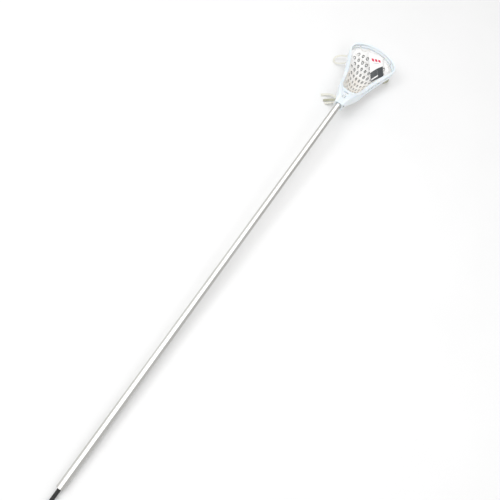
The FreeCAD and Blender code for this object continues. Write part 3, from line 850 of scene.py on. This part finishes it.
def make_shooting_laces():
    """Flat laces woven through the mesh below the scoop."""
    for number, x in enumerate(SHOOTER_AT, 1):
        name = "shooting_lace_%d" % number
        wide = pocket_edge(x) - SHOOTER_END_GAP
        path = []
        steps = 64
        for i in range(steps + 1):
            y = wide * (2 * i / steps - 1)
            weave = SHOOTER_WEAVE * math.sin(i * math.pi / SHOOTER_WEAVE_STEPS)
            path.append(sound_pocket(x, y) + Vector((0, 0, SHOOTER_LIFT + weave)))
        section = flat_section(SHOOTER_WIDTH, LACE_THICK)
        mesh = swept_mesh(name + "_woven", [sweep(path, section, rolled((0, 0), (1, 0)))])
        lace = link(name + "_woven", mesh)
        finish_piece(lace, WHITE_LACE, [name])


# ---- strings and knots --------------------------------------------------------------

def smooth_route(route, steps=8):
    """A smooth line through a string's points."""
    along = np.concatenate([[0.0], np.cumsum([(b - a).length for a, b in zip(route, route[1:])])])
    curve = natural_spline(along, [tuple(p) for p in route])
    count = steps * (len(route) - 1)
    return [Vector(curve(along[-1] * i / count)) for i in range(count + 1)]


STRING_SIDES = 10           # points round a string's section
RAIL_LOOP = (               # inset from the rim and height over the rail's foot
    (0.0046, 0.0094), (0.0082, 0.0096), (0.0110, 0.0065), (0.0110, 0.0015), (0.0082, -0.0016),
    (0.0046, -0.0015), (0.0046, 0.0040),
)
RAIL_LOOP_SWAY = 0.0006


def rail_loop(x, side):
    """A turn of string through one hole of a lower rail and back round its inner side."""
    w = half_width(x)
    low = low_edge(x)
    points = [at(x + RAIL_LOOP_SWAY * math.sin(k), side * (w - inset), low + up)
              for k, (inset, up) in enumerate(RAIL_LOOP)]
    return smooth_route(points + points[:1], 6)


def make_sidewall_strings():
    """Zigzag strings from the lower rails to the mesh, with a loop through every hole."""
    section = circle(STRING_D / 2, STRING_SIDES)
    for name, side in (("sidewall_string_left", 1), ("sidewall_string_right", -1)):
        route = []
        for i in range(SIDE_STRING_POINTS):
            x = SIDE_STRING_START + SIDE_STRING_STEP * i
            y = side * (half_width(x) - SIDE_STRING_INSETS[i % 2])
            route.append(at(x, y, low_edge(x) + SIDE_STRING_RISES[i % 2]))
        parts = [sweep(smooth_route(route), section)]
        for i in range(LOW_HOLES):
            parts.append(sweep(rail_loop(LOW_HOLE_START + LOW_HOLE_STEP * i, side), section))
        string = link(name + "_braid", swept_mesh(name + "_braid", parts))
        finish_piece(string, STRING, [name])


SCOOP_STRING_GAP = (0.0022, 0.0018)     # between the scoop's wall and the string, inside and outside


def make_scoop_string():
    """A zigzag string along the top of the mesh, and one woven in and out of the scoop's holes."""
    section = circle(STRING_D / 2, STRING_SIDES)
    route = []
    for i in range(SCOOP_STRING_POINTS):
        share = 0.5 + SCOOP_HOLE_STEP / 2 * (i - (SCOOP_STRING_POINTS - 1) / 2)
        x, y = rim_place(share, SCOOP_STRING_INSETS[i % 2])
        route.append(at(x, y, top_edge(rim(share).x) - SCOOP_STRING_DROPS[i % 2]))
    parts = [sweep(smooth_route(route), section)]
    weave = []
    for i in range(SCOOP_HOLES):
        share = 0.5 + SCOOP_HOLE_STEP * (i - (SCOOP_HOLES - 1) / 2)
        z = top_edge(rim(share).x) - SCOOP_HOLE_DROP
        rake = SCOOP_RAKE * (LIP_Z - z) / (LIP_Z - FOOT_Z)
        insets = (rake + SCOOP_THICK + SCOOP_STRING_GAP[0], rake - SCOOP_STRING_GAP[1])
        for inset in (insets if i % 2 else insets[::-1]):
            x, y = rim_place(share, inset)
            weave.append(at(x, y, z))
    parts.append(sweep(smooth_route(weave, 6), section))
    string = link("scoop_string_braid", swept_mesh("scoop_string_braid", parts))
    finish_piece(string, STRING, ["scoop_string"])


def make_throat_string():
    """A zigzag string round the ball stop between the pad and the foot of the mesh."""
    route = []
    last = (THROAT_STRING_POINTS - 1) / 2
    for i in range(THROAT_STRING_POINTS):
        turn = math.radians(THROAT_STRING_STEP * (i - last))
        radius = THROAT_STRING_RADII[i % 2]
        z = THROAT_STRING_Z[i % 2] - THROAT_STRING_DROP * ((i - last) / last) ** 2
        route.append(at(STOP_CENTRE - radius * math.cos(turn), radius * math.sin(turn), z))
    parts = [sweep(smooth_route(route), circle(STRING_D / 2, STRING_SIDES))]
    string = link("throat_string_braid", swept_mesh("throat_string_braid", parts))
    finish_piece(string, STRING, ["throat_string"])


def overhand(centre, size, axis_turn, steps=48):
    """The closed line of an overhand knot, size across."""
    turned = Matrix.Rotation(axis_turn, 3, "Z") @ Matrix.Rotation(1.1 + axis_turn, 3, "X")
    points = []
    for i in range(steps):
        t = 2 * math.pi * i / steps
        sideways = math.sin(t) + 2 * math.sin(2 * t)
        up = math.cos(t) - 2 * math.cos(2 * t)
        flat = Vector((sideways, up, -1.2 * math.sin(3 * t)))
        points.append(centre + turned @ flat * (size / 6))
    return points


HELD_STRINGS = {            # the axis along which each string's ends are furthest apart
    "sidewall_string_left": 0, "sidewall_string_right": 0, "scoop_string": 1, "throat_string": 1,
}
END_KNOT_SIZE = 0.0062
END_KNOT_CORD = 0.0011
KNOT_TAIL = Vector((0.0042, 0.0, -0.0024))
KNOT_TAIL_DROP = Vector((0, 0, -0.0012))
KNOT_TAIL_R = 0.001


def string_ends(name, axis):
    """The middles of the first and the last section of a CAD string."""
    places = [v.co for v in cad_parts[name].data.vertices]
    ends = []
    for end in (min(places, key=lambda v: v[axis]), max(places, key=lambda v: v[axis])):
        ring = [v for v in places if (v - end).length < STRING_D * 1.2]
        ends.append(sum(ring, Vector()) / len(ring))
    return ends


def make_knots():
    """Each string ends in a small overhand knot with a short cut tail."""
    parts = []
    ends = [end for name, axis in HELD_STRINGS.items() for end in string_ends(name, axis)]
    for k, end in enumerate(ends):
        knot = overhand(end, END_KNOT_SIZE, 0.8 * k)
        parts.append(sweep(knot, circle(END_KNOT_CORD, 8), closed=True))
        tail = Matrix.Rotation(1.7 * k, 3, "Z") @ KNOT_TAIL
        path = [end, end + tail * 0.6, end + tail + KNOT_TAIL_DROP]
        parts.append(sweep(smooth_route(path, 4), circle(KNOT_TAIL_R, 8)))
    knots = link("string_knots_tied", swept_mesh("string_knots_tied", parts))
    finish_piece(knots, STRING, ["string_knots"])


THROAT_KNOT_TURNS = (       # how far off the middle, size, turn, and the lace's width and thickness
    ((0.0, 0.0, 0.0), 0.0125, 0.3, (0.0052, 0.0026)),
    ((0.001, 0.0, -0.001), 0.0095, 1.6, (0.0046, 0.0024)),
)


def make_throat_knot():
    """The loose laces come out of one large knot under the throat."""
    centre = at(*THROAT_KNOT)
    parts = []
    for offset, size, turn, lace in THROAT_KNOT_TURNS:
        knot = overhand(centre + Vector(offset), size, turn)
        parts.append(sweep(knot, flat_section(*lace), closed=True))
    knot = link("throat_knot_tied", swept_mesh("throat_knot_tied", parts))
    finish_piece(knot, CREAM_LACE, ["throat_knot"])


# ---- retail card --------------------------------------------------------------------

CARD_BULGE = 0.0022         # how far the card's middle curls up
CARD_STOCK = 0.0005
CARD_CORNER = 0.06          # share of its width over which a corner is rounded off
CARD_CORNER_DEPTH = 0.02
INK = 0.00012
THIN_INK = 0.00006
PRINT_GAP = 0.00001         # between one print and another on top of it
FLAP_LIFT = 0.0009
FLAP_THICK = 0.0004
MARK_BARS = 3
MARK_START = 0.17
MARK_STEP = 0.24
MARK_WIDTH = 0.17
MARK_LEAN = 0.03
MARK_TOP = 0.19
MARK_FOOT = 0.29


def card_place(across, down, lift):
    """A point of the card: across and down from its first corner as shares, lift above its face."""
    corners = [at(*c) for c in CARD_CORNERS]
    normal = (corners[1] - corners[0]).cross(corners[3] - corners[0]).normalized()
    corners[2] -= normal * (corners[2] - corners[0]).dot(normal)
    if normal.z < 0:
        normal = -normal
    top = corners[0].lerp(corners[1], across)
    foot = corners[3].lerp(corners[2], across)
    curl = CARD_BULGE * math.sin(math.pi * across) * (0.4 + 0.6 * down)
    return top.lerp(foot, down) + normal * (curl + lift)


def edge(left, right, down, further_down=None):
    """A straight edge on the card as a function of the share along it, to (across, down) shares."""
    end = down if further_down is None else further_down
    return lambda share: (left + (right - left) * share, down + (end - down) * share)


def card_sheet(name, outline_low, outline_high, lift, thick, material, across_steps=16, down_steps=20):
    """A thin sheet between two edges given as functions of the share along them."""
    points = []
    for side in (0.0, thick):
        for i in range(down_steps + 1):
            for k in range(across_steps + 1):
                share = k / across_steps
                across, start = outline_low(share)
                across_end, end = outline_high(share)
                t = i / down_steps
                here = across + (across_end - across) * t
                points.append(card_place(here, start + (end - start) * t, lift + side))
    row = across_steps + 1
    layer = row * (down_steps + 1)
    faces = []
    for i in range(down_steps):
        for k in range(across_steps):
            a = i * row + k
            quad = (a, a + 1, a + row + 1, a + row)
            faces.append(quad)
            faces.append(tuple(layer + v for v in quad[::-1]))
    rim_ring = list(range(row))
    rim_ring += [i * row + across_steps for i in range(1, down_steps + 1)]
    rim_ring += [down_steps * row + k for k in range(across_steps - 1, -1, -1)]
    rim_ring += [i * row for i in range(down_steps - 1, 0, -1)]
    for a, b in zip(rim_ring, rim_ring[1:] + rim_ring[:1]):
        faces.append((b, a, layer + a, layer + b))
    mesh = mesh_from(name, points, faces)
    made = bmesh.new()
    made.from_mesh(mesh)
    bmesh.ops.recalc_face_normals(made, faces=made.faces)
    made.to_mesh(mesh)
    made.free()
    sheet = link(name, mesh, "card")
    return finish_piece(sheet, material, smooth=False)


def make_card():
    """A curled card with a dark panel, a red mark of three slanted bars, a thin line and a folded flap."""
    white = card_material("card_white", (0.94, 0.93, 0.93), (0.88, 0.87, 0.87))
    dark = card_material("card_dark", (0.065, 0.070, 0.075), (0.045, 0.050, 0.055), 0.3)
    red = card_material("card_red", (0.80, 0.03, 0.10), (0.62, 0.02, 0.07))
    grey = card_material("card_grey", (0.42, 0.43, 0.46), (0.34, 0.35, 0.38))

    def corner_cut(share):
        ends = max(0.0, 1 - share / CARD_CORNER) ** 2 + max(0.0, (share - 1) / CARD_CORNER + 1) ** 2
        return CARD_CORNER_DEPTH * ends

    card = card_sheet("card_body", lambda s: (s, corner_cut(s)), lambda s: (s, 1 - corner_cut(s)),
                      0.0, CARD_STOCK, white)
    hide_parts("retail_card")
    card_sheet("card_panel", edge(0.01, 0.99, 0.69, 0.47), edge(0.01, 0.99, 0.99), CARD_STOCK, INK, dark)
    card_sheet("card_panel_line", edge(0.52, 0.532, 0.62), edge(0.54, 0.552, 0.97),
               CARD_STOCK + INK + PRINT_GAP, THIN_INK, grey, 2, 12)
    for k in range(MARK_BARS):
        left = MARK_START + MARK_STEP * k
        foot_left = left + MARK_LEAN
        card_sheet("card_mark_%d" % (k + 1), edge(left, left + MARK_WIDTH, MARK_TOP),
                   edge(foot_left, foot_left + MARK_WIDTH, MARK_FOOT - 0.01, MARK_FOOT + 0.01),
                   CARD_STOCK, INK, red, 4, 4)
    card_sheet("card_line", edge(0.30, 0.70, 0.345), edge(0.30, 0.70, 0.360), CARD_STOCK, INK, grey, 6, 2)
    card_sheet("card_flap", edge(0.06, 0.58, 0.90, 0.84), edge(0.05, 0.55, 0.945, 0.895),
               FLAP_LIFT, FLAP_THICK, white, 8, 4)


# ---- what the CAD's own nodes wear ----------------------------------------------------

def dress_cad_nodes():
    """Materials for the nodes that keep their CAD shape."""
    for name, material in (("shaft_tube", shaft_material()), ("butt_plug", rubber_material()),
                           ("head_screw", screw_material())):
        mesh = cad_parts[name].data
        mesh.materials.clear()
        mesh.materials.append(material)


# ---- floor and light ------------------------------------------------------------------

FLOOR_REACH = 6.0


def make_floor():
    """A wide pale floor under the butt and under the pocket."""
    size = FLOOR_REACH
    corners = [(-size, -size), (size, -size), (size, size), (-size, size)]
    points = [(x, y, FLOOR_AT_BUTT + FLOOR_SLOPE * x) for x, y in corners]
    floor = bpy.data.objects.new("floor", mesh_from("floor", points, [(0, 1, 2, 3)]))
    bpy.context.scene.collection.objects.link(floor)
    floor.data.materials.append(floor_material())


def make_light(name, place, aim, size, power):
    """A soft box that faces aim, size long and wide."""
    data = bpy.data.lights.new(name, "AREA")
    data.shape = "RECTANGLE"
    data.size, data.size_y = size
    data.energy = power
    lamp = bpy.data.objects.new(name, data)
    bpy.context.scene.collection.objects.link(lamp)
    direction = Vector(aim) - Vector(place)
    lamp.matrix_world = Matrix.Translation(place) @ direction.to_track_quat("-Z", "Y").to_matrix().to_4x4()


BACKGROUND = 0.70
LAMPS = (                   # name, place, what it faces, size, watts
    ("overhead", (1.45, 0.36, 2.5), (1.45, 0.36, 0.0), (4.4, 0.7), 17.0),
    ("key", (0.3, 1.5, 2.4), (1.3, 0.0, 0.0), (1.4, 1.4), 22.0),
    ("fill", (0.6, -1.6, 2.0), (1.4, 0.0, 0.0), (1.6, 1.6), 9.0),
)


def make_lights():
    """An even white surround and three soft boxes; the overhead one shows in the shaft's upper flat."""
    world = bpy.data.worlds.new("studio")
    world.use_nodes = True
    bpy.context.scene.world = world
    background = world.node_tree.nodes["Background"]
    background.inputs["Color"].default_value = (1.0, 1.0, 1.0, 1.0)
    background.inputs["Strength"].default_value = BACKGROUND
    for lamp in LAMPS:
        make_light(*lamp)


make_camera()
make_free_laces()
make_head()
make_ball_stop()
make_pocket()
make_shooting_laces()
make_sidewall_strings()
make_scoop_string()
make_throat_string()
make_knots()
make_throat_knot()
make_card()
dress_cad_nodes()
make_floor()
make_lights()
bpy.context.scene.view_settings.view_transform = "Standard"
